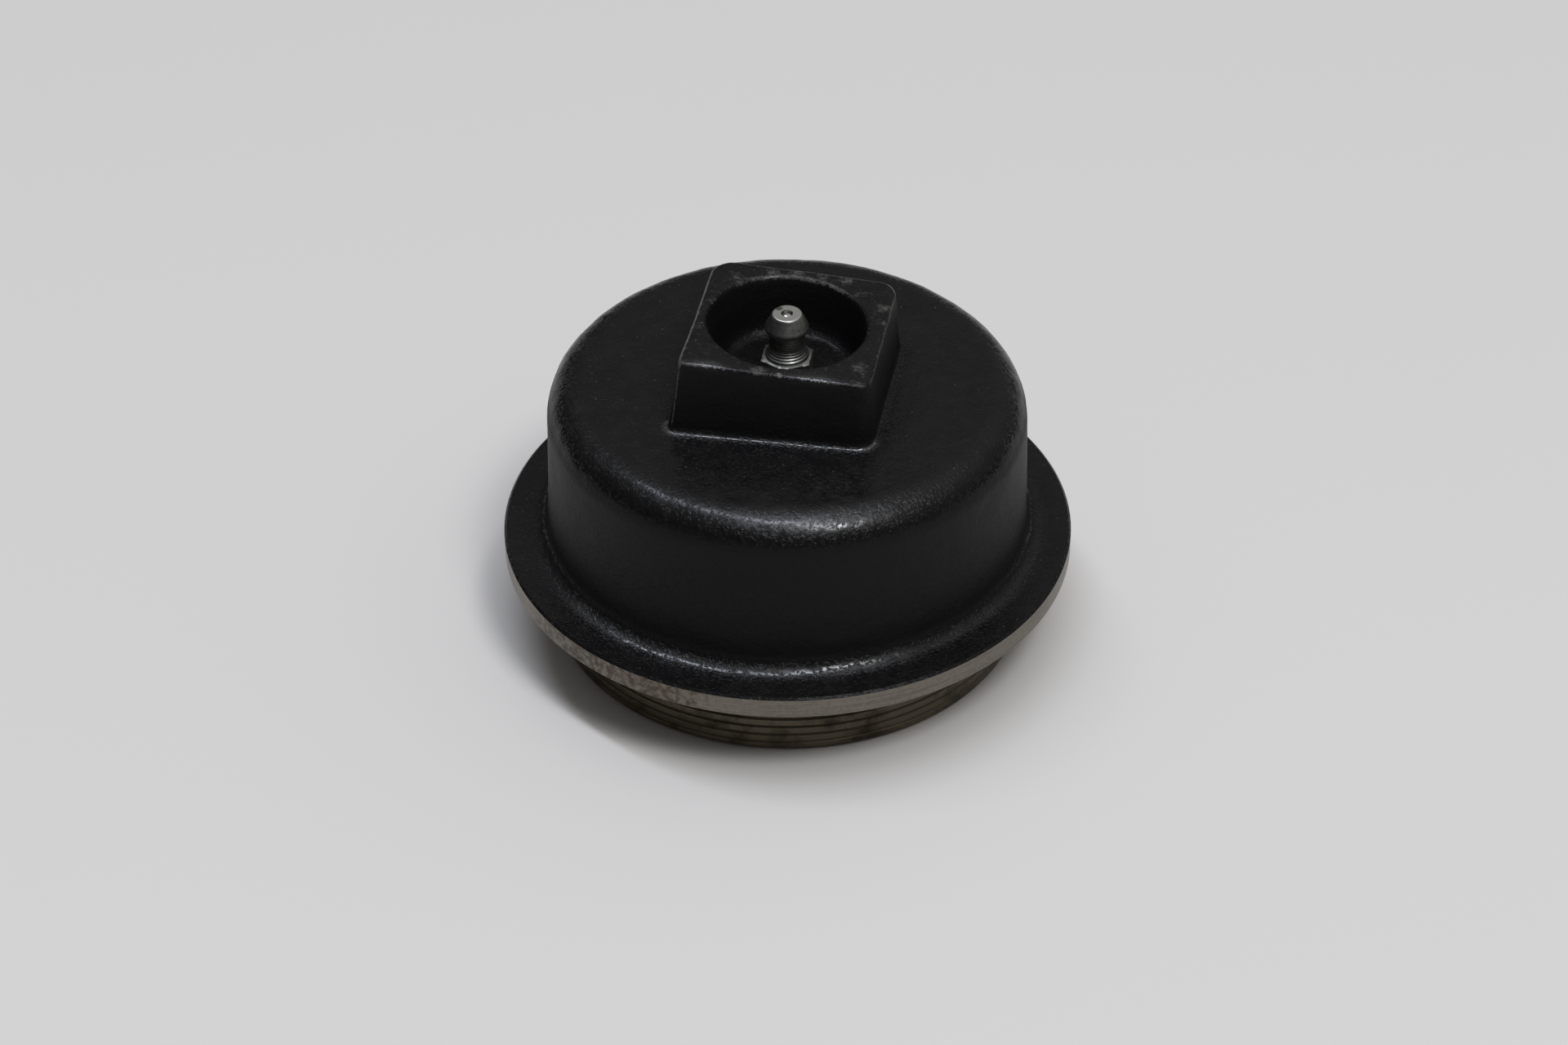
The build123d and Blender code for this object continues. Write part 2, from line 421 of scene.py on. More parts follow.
def pooledPaint(piece, r, angle, z):
    # thick glossy paint in the two inner corners, over the shoulder and along the boss's front edge,
    # and thin paint in the cup
    co = readPoints(piece)
    shoulderEdge = domeBase - cap["dome"] * slope(cap["domeDraft"])
    fromFoot = spotDistance(r, z, shinySpot((bossFoot, domeTop), cap["bossFillet"], True))
    fromBase = spotDistance(r, z, shinySpot((domeBase, flangeTop), cap["baseFillet"], True))
    fromEdge = spotDistance(r, z, shinySpot((bossHalf, bossTop), cap["bossEdge"], False))
    fromShoulder = spotDistance(r, z, shinySpot((shoulderEdge, domeTop), cap["shoulder"], False))
    front = ease(pooled["frontDepth"] - bossHalf - co[:, 1])
    stretches = sum(np.exp(-((co[:, 0] - x) / width) ** 2) for x, width in pooled["edgeStretches"])
    foot = np.exp(-(fromFoot / pooled["footLine"]) ** 2) * front
    edge = np.exp(-(fromEdge / pooled["edgeLine"]) ** 2) * front * stretches
    across = fromFront(angle)
    base = pooled["base"] * np.exp(-(fromBase / pooled["baseLine"]) ** 2)
    base *= sweep(across, *pooled["baseSweep"])
    shoulder = pooled["shoulder"] * np.exp(-(fromShoulder / pooled["shoulderBand"]) ** 2)
    least = pooled["shoulderLeast"]
    sideways = (across - pooled["shoulderAt"]) / pooled["shoulderSpread"]
    shoulder *= least + (1 - least) * np.exp(-sideways ** 2)
    inCup = (r < cupMouth - pooled["cupInset"]) & (z > cupFloor - slack)
    inCup &= z < bossTop - pooled["cupTop"]
    thick = np.where(inCup, pooled["cup"], np.maximum.reduce([foot, edge, base, shoulder]))
    pointAttribute(piece, "pooledPaint", thick)
    nearCorner = np.minimum(fromFoot, fromBase) / pooled["grainWidth"]
    pointAttribute(piece, "sandGrain", np.exp(-nearCorner ** 2))


def rustAndPaintedShade(piece, angle):
    # the rim and thread carry rust stains and painted shade to the left of the front, and less of both
    # elsewhere
    pointAttribute(piece, "rustAndPaintedShade", sweep(fromFront(angle), *wear["rustAndShadeSweep"]))


def makeCap():
    outline = capOutline()
    piece = drawOutline("capCasting", outline)
    divideOutline(piece, capRows)
    spinRound(piece, cap["steps"])
    keepSharp(piece, outline)
    r, angle, z = polar(readPoints(piece))
    squareBoss(piece)
    cutThread(piece)
    skinGroup(piece, r, z)
    mouldLumps(piece, "broadLumps", *cap["broadLumps"])
    mouldLumps(piece, "smallLumps", *cap["smallLumps"])
    wornPaint(piece, r, angle, z)
    pooledPaint(piece, r, angle, z)
    rustAndPaintedShade(piece, angle)
    return piece


capCasting = makeCap()
print("cap casting", len(capCasting.data.polygons), "faces")


# the nipple: turned from hexagon bar, plated, sizes in mm

nipple = {
    "flats": 7.25, "hex": 3.3, "hexChamfer": 0.2, "hexAngle": 29.5,
    "flareWidth": 6.6, "flare": 2.2, "flareFoot": 0.25, "neckWidth": 5.4, "neck": 1.9,
    "headWidth": 6.65, "underside": 0.6, "band": 0.35, "cone": 2.35, "tipWidth": 4.4,
    "orifice": 1.8, "land": 0.45, "boreWidth": 2.9, "outlet": 1.6, "outletLip": 0.6,
    "shankWidth": 5.35, "shank": 5.5, "shankChamfer": 0.5, "steps": 180,
    "ringSpacing": 0.4, "ringDepth": 0.07, "neckStart": 0.6,
    "tipRound": 0.3, "shoulderRound": 1.2, "bandRound": 0.15, "neckRound": 0.3,
    "flareCurve": 2.0, "footRound": 0.1, "fineRow": 0.08, "coarseRow": 0.5, "sharpAngle": 30,
    "ringStart": 0.1, "ringEnd": 0.2, "leastWall": 0.2,
}
hexTop = cupFloor + nipple["hex"]
flareTop = hexTop + nipple["flare"]
neckTop = flareTop + nipple["neck"]
bandTop = neckTop + nipple["underside"] + nipple["band"]
tipTop = bandTop + nipple["cone"]
shankEnd = cupFloor - nipple["shank"]
seatHeight = tipTop - nipple["land"]


def nippleOutline():
    head = nipple["headWidth"] / 2
    neck = nipple["neckWidth"] / 2
    flare = nipple["flareWidth"] / 2
    flats = nipple["flats"] / 2
    hexCorner = flats / math.cos(math.radians(30))
    shank = nipple["shankWidth"] / 2
    valveBore = nipple["boreWidth"] / 2
    orifice = nipple["orifice"] / 2
    outlet = nipple["outlet"] / 2
    return [
        (orifice, tipTop, 0),
        (nipple["tipWidth"] / 2, tipTop, nipple["tipRound"]),
        (head, bandTop, nipple["shoulderRound"]),
        (head, bandTop - nipple["band"], nipple["bandRound"]),
        (neck, neckTop, nipple["neckRound"]),
        (neck, hexTop + nipple["flare"] * nipple["neckStart"], nipple["flareCurve"]),
        (flare, hexTop + nipple["flareFoot"], nipple["footRound"]),
        (flare, hexTop, 0),
        (hexCorner, hexTop - nipple["hexChamfer"], 0),
        (hexCorner, cupFloor, 0),
        (shank, cupFloor, 0),
        (shank, shankEnd + nipple["shankChamfer"], 0),
        (shank - nipple["shankChamfer"], shankEnd, 0),
        (outlet, shankEnd, 0),
        (outlet, shankEnd + nipple["outletLip"], 0),
        (valveBore, shankEnd + nipple["outletLip"], 0),
        (valveBore, seatHeight - valveBore + orifice, 0),
        (orifice, seatHeight, 0),
    ]


def nippleRows(r, z):
    inSight = z > hexTop and r > nipple["boreWidth"] / 2
    return nipple["fineRow"] if inSight else nipple["coarseRow"]


def shapeHexagon(piece):
    # flattens the round collar to its six faces, which leaves the turned chamfer on the corners
    co = readPoints(piece)
    r, angle, z = polar(co)
    fromFlat = np.mod(angle, math.radians(60)) - math.radians(30)
    reach = nipple["flats"] / 2 / np.cos(fromFlat)
    collar = (r > nipple["flareWidth"] / 2 + fineSlack) & (z < hexTop + fineSlack)
    collar &= z > cupFloor - fineSlack
    co[:, :2] *= np.where(collar, np.minimum(r, reach) / np.maximum(r, 1e-6), 1)[:, None]
    writePoints(piece, co)


def turnRings(piece):
    # tool marks left on the flare and the neck
    co = readPoints(piece)
    r, _, z = polar(co)
    turned = (z > hexTop + nipple["ringStart"]) & (z < neckTop - nipple["ringEnd"])
    turned &= r > nipple["boreWidth"] / 2 + nipple["leastWall"]
    wave = 0.5 - 0.5 * np.cos(2 * math.pi * (z - hexTop) / nipple["ringSpacing"])
    groove = nipple["ringDepth"] * wave ** 2 * turned
    co[:, :2] *= ((r - groove) / np.maximum(r, 1e-6))[:, None]
    writePoints(piece, co)


def makeNipple():
    outline = nippleOutline()
    piece = drawOutline("greaseNipple", outline)
    divideOutline(piece, nippleRows)
    spinRound(piece, nipple["steps"])
    shapeHexagon(piece)
    turnRings(piece)
    piece.rotation_euler[2] = math.radians(nipple["hexAngle"])
    bpy.ops.object.transform_apply(location=False, rotation=True, scale=False)
    bpy.ops.object.shade_smooth_by_angle(angle=math.radians(nipple["sharpAngle"]))
    return piece


greaseNipple = makeNipple()
print("grease nipple", len(greaseNipple.data.polygons), "faces")


# the check ball under the tip's hole

ball = {"width": 2.4, "seatGap": 0.02, "segments": 64, "rings": 32}

ballRadius = ball["width"] / 2
ballHeight = seatHeight - math.sqrt(ballRadius ** 2 - (nipple["orifice"] / 2) ** 2) - ball["seatGap"]
freshStart()
bpy.ops.mesh.primitive_uv_sphere_add(segments=ball["segments"], ring_count=ball["rings"],
                                     radius=ballRadius * mm, location=(0, 0, ballHeight * mm))
valveBall = bpy.context.object
valveBall.name = "valveBall"
bpy.ops.object.transform_apply(location=True, rotation=False, scale=False)
bpy.ops.object.shade_smooth()
print("valve ball at", round(ballHeight, 3), "mm")


# the valve spring: a coil of drawn wire that shortens as the ball is pushed in

spring = {"wire": 0.34, "turns": 6, "boreGap": 0.12, "endGap": 0.02, "travel": 1.0,
          "sides": 10, "steps": 24, "sharpAngle": 50}

wireRadius = spring["wire"] / 2
coilRadius = nipple["boreWidth"] / 2 - spring["boreGap"] - wireRadius
ballReach = ballRadius + wireRadius + spring["endGap"]
coilTop = ballHeight - math.sqrt(ballReach ** 2 - coilRadius ** 2)
springFoot = shankEnd + nipple["outletLip"] + spring["endGap"]
coilFoot = springFoot + wireRadius


def makeSpring():
    # the wire's section, square to the coil, wound up by a screw and closed at both ends
    pitch = (coilTop - coilFoot) / spring["turns"]
    tilt = math.atan(pitch / (2 * math.pi * coilRadius))
    freshStart()
    bpy.ops.mesh.primitive_circle_add(vertices=spring["sides"], radius=wireRadius * mm,
                                      location=(coilRadius * mm, 0, coilFoot * mm),
                                      rotation=(math.pi / 2 + tilt, 0, 0))
    piece = bpy.context.object
    piece.name = "valveSpring"
    bpy.ops.object.transform_apply(location=True, rotation=True, scale=False)
    wind = piece.modifiers.new("wind", "SCREW")
    wind.angle = 2 * math.pi
    wind.screw_offset = pitch * mm
    wind.iterations = spring["turns"]
    wind.steps = spring["steps"]
    wind.render_steps = spring["steps"]
    bpy.ops.object.modifier_apply(modifier="wind")
    bpy.ops.object.mode_set(mode="EDIT")
    bpy.ops.mesh.select_all(action="SELECT")
    bpy.ops.mesh.fill_holes(sides=0)
    bpy.ops.mesh.select_all(action="SELECT")
    bpy.ops.mesh.normals_make_consistent(inside=False)
    bpy.ops.object.mode_set(mode="OBJECT")
    bpy.ops.object.shade_smooth_by_angle(angle=math.radians(spring["sharpAngle"]))
    return piece


valveSpring = makeSpring()
print("valve spring", len(valveSpring.data.polygons), "faces")

for piece, body, cadNode, slot in (
    (capCasting, "cap", "cap_body", "enamelled_iron"),
    (greaseNipple, "cap", "nipple_body", "zinc_plated_steel"),
    (valveBall, "ball", "check_ball", "bearing_steel"),
    (valveSpring, "cap", "check_spring", "spring_steel"),
):
    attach(piece, body)
    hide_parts(cadNode)
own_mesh(valveSpring)
print("pieces ride on their bodies")


# materials: one function adds a node with its settings, another fills its sockets

def linear(hexColour):
    parts = [int(hexColour[i:i + 2], 16) / 255 for i in (1, 3, 5)]
    return [c / 12.92 if c <= 0.04045 else ((c + 0.055) / 1.055) ** 2.4 for c in parts] + [1]


def plug(material, made, links):
    for socket, value in links.items():
        if isinstance(value, bpy.types.NodeSocket):
            material.node_tree.links.new(value, made.inputs[socket])
        else:
            made.inputs[socket].default_value = value


def node(material, kind, links, **settings):
    made = material.node_tree.nodes.new(kind)
    for key, value in settings.items():
        setattr(made, key, value)
    plug(material, made, links)
    return made.outputs


def startMaterial(name):
    material = bpy.data.materials.new(name)
    material.use_nodes = True
    shader = material.node_tree.nodes["Principled BSDF"]
    place = node(material, "ShaderNodeTexCoord", {})["Object"]
    return material, shader, place


def perMm(size):
    return 1 / (size * mm)


# black enamel brushed over sand-cast iron

enamel = {
    "black": "#0b0b0c", "dust": "#1b1815", "worn": "#6e6a64", "speck": "#8a857d",
    "gloss": 0.15, "dull": 0.75, "level": 0.17, "pooledLevel": 1.0,
    "lump": 1.8, "lumpDepth": 0.08, "nib": 0.5, "nibHeight": 0.06, "coarseNib": 0.13,
    "dustPatch": 2.6, "scuff": 0.8, "speckSpacing": 1.8, "speckSize": 0.07,
    "dustStrength": 0.45, "uprightDull": 0.62, "wornStrength": 0.85, "speckStrength": 0.7,
}


def enamelMaterial():
    # a nearly black gloss that its lumps break up, dulled by brown dust on top, drier on upright
    # walls, and rubbed through to pale grey along the boss's edges
    material, shader, place = startMaterial("blackEnamelOnCastIron")
    lumps = node(material, "ShaderNodeTexNoise",
                 {"Vector": place, "Scale": perMm(enamel["lump"]), "Detail": 1.5})["Fac"]
    grain = node(material, "ShaderNodeTexNoise",
                 {"Vector": place, "Scale": perMm(enamel["nib"]), "Detail": 3, "Roughness": 0.6})["Fac"]
    nibs = node(material, "ShaderNodeMapRange",
                {"Value": grain, "From Min": 0.5, "From Max": 0.78, "To Min": 0.0, "To Max": 1.0})[0]
    patches = node(material, "ShaderNodeTexNoise",
                   {"Vector": place, "Scale": perMm(enamel["dustPatch"]),
                    "Detail": 8, "Roughness": 0.7})["Fac"]
    normal = node(material, "ShaderNodeNewGeometry", {})["Normal"]
    upward = node(material, "ShaderNodeSeparateXYZ", {"Vector": normal})["Z"]
    settled = node(material, "ShaderNodeMapRange",
                   {"Value": upward, "From Min": 0.2, "From Max": 1.0,
                    "To Min": 0.0, "To Max": enamel["dustStrength"]},
                   interpolation_type="SMOOTHSTEP")[0]
    patchy = node(material, "ShaderNodeMapRange",
                  {"Value": patches, "From Min": 0.4, "From Max": 0.75, "To Min": 0.1, "To Max": 1.0})[0]
    dust = node(material, "ShaderNodeMath", {0: settled, 1: patchy}, operation="MULTIPLY")[0]
    worn = node(material, "ShaderNodeAttribute", {}, attribute_name="wornPaint")["Fac"]
    scuffs = node(material, "ShaderNodeTexNoise",
                  {"Vector": place, "Scale": perMm(enamel["scuff"]),
                   "Detail": 7, "Roughness": 0.75})["Fac"]
    ragged = node(material, "ShaderNodeMath", {0: worn, 1: scuffs}, operation="MULTIPLY")[0]
    bare = node(material, "ShaderNodeMapRange",
                {"Value": ragged, "From Min": 0.22, "From Max": 0.5,
                 "To Min": 0.0, "To Max": enamel["wornStrength"]})[0]
    cells = node(material, "ShaderNodeTexVoronoi",
                 {"Vector": place, "Scale": perMm(enamel["speckSpacing"])})
    speck = node(material, "ShaderNodeMapRange",
                 {"Value": cells["Distance"], "From Min": enamel["speckSize"], "From Max": 0.02,
                  "To Min": 0.0, "To Max": enamel["speckStrength"]})[0]
    dusted = node(material, "ShaderNodeMix",
                  {0: dust, 6: linear(enamel["black"]), 7: linear(enamel["dust"])},
                  data_type="RGBA")[2]
    rubbed = node(material, "ShaderNodeMix", {0: bare, 6: dusted, 7: linear(enamel["worn"])},
                  data_type="RGBA")[2]
    settledSpeck = node(material, "ShaderNodeMath", {0: speck, 1: settled}, operation="MULTIPLY")[0]
    specked = node(material, "ShaderNodeMix", {0: settledSpeck, 6: rubbed, 7: linear(enamel["speck"])},
                   data_type="RGBA")[2]
    upright = node(material, "ShaderNodeMapRange",
                   {"Value": upward, "From Min": 0.6, "From Max": 0.25,
                    "To Min": 0.0, "To Max": enamel["uprightDull"]})[0]
    drier = node(material, "ShaderNodeMath", {0: upright, 1: bare}, operation="MAXIMUM")[0]
    dulled = node(material, "ShaderNodeMath", {0: dust, 1: drier}, operation="MAXIMUM")[0]
    roughness = node(material, "ShaderNodeMapRange",
                     {"Value": dulled, "From Min": 0.0, "From Max": 1.0,
                      "To Min": enamel["gloss"], "To Max": enamel["dull"]})[0]
    lumpy = node(material, "ShaderNodeBump",
                 {"Height": lumps, "Strength": 1.0, "Distance": enamel["lumpDepth"] * mm})["Normal"]
    gathered = node(material, "ShaderNodeAttribute", {}, attribute_name="sandGrain")["Fac"]
    nibRise = node(material, "ShaderNodeMapRange",
                   {"Value": gathered, "From Min": 0.0, "From Max": 1.0,
                    "To Min": enamel["nibHeight"] * mm, "To Max": enamel["coarseNib"] * mm})[0]
    grainy = node(material, "ShaderNodeBump",
                  {"Height": nibs, "Strength": 1.0, "Distance": nibRise, "Normal": lumpy})["Normal"]
    thick = node(material, "ShaderNodeAttribute", {}, attribute_name="pooledPaint")["Fac"]
    level = node(material, "ShaderNodeMapRange",
                 {"Value": thick, "From Min": 0.0, "From Max": 1.0,
                  "To Min": enamel["level"], "To Max": enamel["pooledLevel"]}, clamp=False)[0]
    shader.inputs["Specular IOR Level"].default_value = enamel["level"]
    plug(material, shader, {"Base Color": specked, "Roughness": roughness, "Normal": grainy,
                            "Specular IOR Level": level})
    return material


# turned cast iron, left bare, and greasy on the thread, with painted shade down the thread's grooves

iron = {
    "bare": "#7c776d", "dull": "#5a554b", "rustAndShade": "#402e20", "toolLine": 0.22, "lineDepth": 0.02,
    "lineStretch": 0.02, "stain": 1.1, "mottle": 0.6, "roughness": 0.4,
    "rimRustAndShade": 0.9, "threadRustAndShade": 0.3, "unevenness": 0.5, "rustAndShadeMetal": 0.3,
    "thread": "#5e5648", "grimeAndShade": "#2b251d", "smear": 5.0, "smearStrength": 0.8,
    "grooveShade": 0.7, "grooveShadeDepth": 0.2,
}


def ironMaterial(name, colour, grimedAndShaded):
    # a dull warm grey with brown rust stains that also carry painted shade on the front-left, and with
    # tool lines drawn coarse enough to show
    material, shader, place = startMaterial(name)
    stretch = (iron["lineStretch"], iron["lineStretch"], 1.0)
    stretched = node(material, "ShaderNodeMapping", {"Vector": place, "Scale": stretch})["Vector"]
    lines = node(material, "ShaderNodeTexNoise",
                 {"Vector": stretched, "Scale": perMm(iron["toolLine"]), "Detail": 2})["Fac"]
    blotches = node(material, "ShaderNodeTexNoise",
                    {"Vector": place, "Scale": perMm(iron["stain"]),
                     "Detail": 8, "Roughness": 0.75})["Fac"]
    stainedAndShaded = node(material, "ShaderNodeAttribute", {}, attribute_name="rustAndPaintedShade")["Fac"]
    level = node(material, "ShaderNodeMath", {0: blotches, 1: stainedAndShaded}, operation="MULTIPLY")[0]
    # painted shade: the dark brown is laid on more towards the front-left, darkening the rim and thread
    # there on top of real rust stains
    rustAndShade = node(material, "ShaderNodeMapRange",
                {"Value": level, "From Min": 0.44, "From Max": 0.55,
                 "To Min": 0.0, "To Max": iron["threadRustAndShade"] if grimedAndShaded else iron["rimRustAndShade"]})[0]
    mottle = node(material, "ShaderNodeTexNoise",
                  {"Vector": place, "Scale": perMm(iron["mottle"]), "Detail": 4, "Roughness": 0.7})["Fac"]
    worked = node(material, "ShaderNodeMath", {0: mottle, 1: lines}, operation="MULTIPLY")[0]
    uneven = node(material, "ShaderNodeMapRange",
                  {"Value": worked, "From Min": 0.3, "From Max": 0.17,
                   "To Min": 0.0, "To Max": iron["unevenness"]})[0]
    metalColour = node(material, "ShaderNodeMix", {0: uneven, 6: linear(colour), 7: linear(iron["dull"])},
                       data_type="RGBA")[2]
    colourOut = node(material, "ShaderNodeMix", {0: rustAndShade, 6: metalColour, 7: linear(iron["rustAndShade"])},
                     data_type="RGBA")[2]
    if grimedAndShaded:
        # painted shade: the thread's roots are darkened as if shadowed by the crests, together with real
        # smears of grime
        split = node(material, "ShaderNodeSeparateXYZ", {"Vector": place})
        flat = node(material, "ShaderNodeCombineXYZ", {"X": split["X"], "Y": split["Y"]})[0]
        reach = node(material, "ShaderNodeVectorMath", {0: flat}, operation="LENGTH")["Value"]
        root = (cap["thread"] - cap["groove"]) * mm
        paintedGrooveShade = node(material, "ShaderNodeMapRange",
                        {"Value": reach, "From Min": root + iron["grooveShadeDepth"] * mm, "From Max": root,
                         "To Min": 0.0, "To Max": iron["grooveShade"]})[0]
        smears = node(material, "ShaderNodeTexNoise",
                      {"Vector": place, "Scale": perMm(iron["smear"]),
                       "Detail": 4, "Roughness": 0.65})["Fac"]
        smeared = node(material, "ShaderNodeMapRange",
                       {"Value": smears, "From Min": 0.47, "From Max": 0.66,
                        "To Min": 0.0, "To Max": iron["smearStrength"]})[0]
        grimeAndGrooveShade = node(material, "ShaderNodeMath", {0: paintedGrooveShade, 1: smeared}, operation="MAXIMUM")[0]
        colourOut = node(material, "ShaderNodeMix", {0: grimeAndGrooveShade, 6: colourOut, 7: linear(iron["grimeAndShade"])},
                         data_type="RGBA")[2]
    metal = node(material, "ShaderNodeMapRange",
                 {"Value": rustAndShade, "From Min": 0.0, "From Max": 1.0,
                  "To Min": 1.0, "To Max": iron["rustAndShadeMetal"]})[0]
    scored = node(material, "ShaderNodeBump",
                  {"Height": lines, "Strength": 1.0, "Distance": iron["lineDepth"] * mm})["Normal"]
    plug(material, shader, {"Base Color": colourOut, "Metallic": metal, "Normal": scored,
                            "Roughness": iron["roughness"]})
    return material


# raw cored iron inside the dome: rough, dark and brown with old grease

cored = {"iron": "#2c2622", "grease": "#15110d", "patch": 6.0, "sand": 0.7, "sandDepth": 0.08,
         "roughness": 0.55}


def coredMaterial():
    material, shader, place = startMaterial("coredCastIron")
    patches = node(material, "ShaderNodeTexNoise",
                   {"Vector": place, "Scale": perMm(cored["patch"]), "Detail": 4})["Fac"]
    sand = node(material, "ShaderNodeTexNoise",
                {"Vector": place, "Scale": perMm(cored["sand"]), "Detail": 3})["Fac"]
    colour = node(material, "ShaderNodeMix",
                  {0: patches, 6: linear(cored["iron"]), 7: linear(cored["grease"])},
                  data_type="RGBA")[2]
    rough = node(material, "ShaderNodeBump",
                 {"Height": sand, "Strength": 1.0, "Distance": cored["sandDepth"] * mm})["Normal"]
    plug(material, shader, {"Base Color": colour, "Normal": rough, "Roughness": cored["roughness"]})
    return material


# zinc plated steel: a soft grey metal with faint turning rings, rubbed bright on its tip

zinc = {
    "plate": "#92938e", "tarnish": "#4a4a46", "rubbed": "#bdbcb6", "ring": 0.12, "ringDepth": 0.01,
    "ringStretch": 0.03, "patch": 0.9, "roughness": 0.38, "tarnishStrength": 0.7, "rubbedStrength": 0.85,
    "chip": (-1.39, 1.09), "chipSize": 0.75, "chipStrength": 0.85,
}


def zincMaterial():
    material, shader, place = startMaterial("zincPlatedSteel")
    stretch = (zinc["ringStretch"], zinc["ringStretch"], 1.0)
    stretched = node(material, "ShaderNodeMapping", {"Vector": place, "Scale": stretch})["Vector"]
    rings = node(material, "ShaderNodeTexNoise",
                 {"Vector": stretched, "Scale": perMm(zinc["ring"]), "Detail": 2})["Fac"]
    patches = node(material, "ShaderNodeTexNoise",
                   {"Vector": place, "Scale": perMm(zinc["patch"]), "Detail": 5, "Roughness": 0.6})["Fac"]
    tarnish = node(material, "ShaderNodeMapRange",
                   {"Value": patches, "From Min": 0.42, "From Max": 0.75,
                    "To Min": 0.05, "To Max": zinc["tarnishStrength"]})[0]
    dulled = node(material, "ShaderNodeMix",
                  {0: tarnish, 6: linear(zinc["plate"]), 7: linear(zinc["tarnish"])},
                  data_type="RGBA")[2]
    normal = node(material, "ShaderNodeNewGeometry", {})["Normal"]
    upward = node(material, "ShaderNodeSeparateXYZ", {"Vector": normal})["Z"]
    flat = node(material, "ShaderNodeMapRange",
                {"Value": upward, "From Min": 0.78, "From Max": 0.97,
                 "To Min": 0.0, "To Max": zinc["rubbedStrength"]})[0]
    height = node(material, "ShaderNodeSeparateXYZ", {"Vector": place})["Z"]
    atTip = node(material, "ShaderNodeMapRange",
                 {"Value": height, "From Min": neckTop * mm, "From Max": bandTop * mm,
                  "To Min": 0.0, "To Max": 1.0})[0]
    rubbed = node(material, "ShaderNodeMath", {0: flat, 1: atTip}, operation="MULTIPLY")[0]
    bright = node(material, "ShaderNodeMix", {0: rubbed, 6: dulled, 7: linear(zinc["rubbed"])},
                  data_type="RGBA")[2]
    chip = Vector((*zinc["chip"], tipTop)) * mm
    chipEdge = zinc["chipSize"] * mm
    fromChip = node(material, "ShaderNodeVectorMath", {0: place, 1: chip}, operation="DISTANCE")["Value"]
    chipped = node(material, "ShaderNodeMapRange",
                   {"Value": fromChip, "From Min": chipEdge, "From Max": chipEdge / 2,
                    "To Min": 0.0, "To Max": zinc["chipStrength"]})[0]
    colour = node(material, "ShaderNodeMix", {0: chipped, 6: bright, 7: linear(zinc["tarnish"])},
                  data_type="RGBA")[2]
    ringed = node(material, "ShaderNodeBump",
                  {"Height": rings, "Strength": 1.0, "Distance": zinc["ringDepth"] * mm})["Normal"]
    plug(material, shader, {"Base Color": colour, "Normal": ringed, "Metallic": 1,
                            "Roughness": zinc["roughness"]})
    return material


# hardened steel of the ball and drawn steel of the spring: bright, with a faint film of grease

steel = {"bright": "#b9b4ae", "film": "#6b4a38", "patch": 0.8, "filmStrength": 0.6,
         "ballRoughness": 0.15, "springRoughness": 0.35}


def steelMaterial(name, roughness):
    material, shader, place = startMaterial(name)
    patches = node(material, "ShaderNodeTexNoise",
                   {"Vector": place, "Scale": perMm(steel["patch"]), "Detail": 3})["Fac"]
    film = node(material, "ShaderNodeMapRange",
                {"Value": patches, "From Min": 0.45, "From Max": 0.8,
                 "To Min": 0.0, "To Max": steel["filmStrength"]})[0]
    colour = node(material, "ShaderNodeMix",
                  {0: film, 6: linear(steel["bright"]), 7: linear(steel["film"])},
                  data_type="RGBA")[2]
    plug(material, shader, {"Base Color": colour, "Metallic": 1, "Roughness": roughness})
    return material


def dressCap(piece):
    # enamel above the rim, bare turned iron below, a greasy thread and a raw cavity
    finishes = [
        enamelMaterial(),
        ironMaterial("turnedCastIron", iron["bare"], False),
        ironMaterial("threadedCastIron", iron["thread"], True),
        coredMaterial(),
    ]
    for finish in finishes:
        piece.data.materials.append(finish)
    co = readPoints(piece)
    faces = np.array([co[list(face.vertices)].mean(axis=0) for face in piece.data.polygons])
    r, _, z = polar(faces)
    onThread = (r > inWall) & (z < cap["spigot"] - cap["reliefWidth"]) & (z > fineSlack)
    inCavity = (r < inWall) & (z > flangeTop) & (z < cavityTop + cap["ceilingSlack"])
    which = np.where(z > flangeTop - cap["edgeBreak"] + slack, 0, 1)
    which = np.where(onThread, 2, which)
    which = np.where(inCavity, 3, which)
    piece.data.polygons.foreach_set("material_index", which.astype(np.int32))


dressCap(capCasting)
greaseNipple.data.materials.append(zincMaterial())
valveBall.data.materials.append(steelMaterial("polishedBearingSteel", steel["ballRoughness"]))
valveSpring.data.materials.append(steelMaterial("drawnSpringSteel", steel["springRoughness"]))
print("materials set")


# floor, light and camera: floor and lamps in metres, camera in mm

stage = {
    "floor": "#c2bfbb", "size": 6.0, "floorRoughness": 0.6, "floorLevel": 0.2,
    "horizon": 0.04, "overhead": 0.72, "falloff": 2.0, "skyward": (0.25, 0.08, 0.965),
}
strip = {"azimuth": -41, "elevation": 84.6, "distance": 2.42, "width": 3.0, "height": 0.2,
         "power": 42.0, "colour": "#e9f0ff"}
stripHeading = 135.5
hotLamp = {"azimuth": 33, "elevation": 60, "distance": 2.4, "width": 0.6, "height": 0.6,
           "power": 23.0, "colour": "#ffffff"}
view = {"azimuth": 9.09, "elevation": 38.58, "distance": 662.9, "lens": 97.5, "sensor": 36,
        "aimHeight": 15.58, "aimLeft": 0.55, "roll": -0.2}


def around(azimuth, elevation, distance):
    # a place seen from the origin: azimuth 0 is in front, along -Y, and grows to the right
    a, e = math.radians(azimuth), math.radians(elevation)
    return Vector((math.sin(a) * math.cos(e), -math.cos(a) * math.cos(e), math.sin(e))) * distance


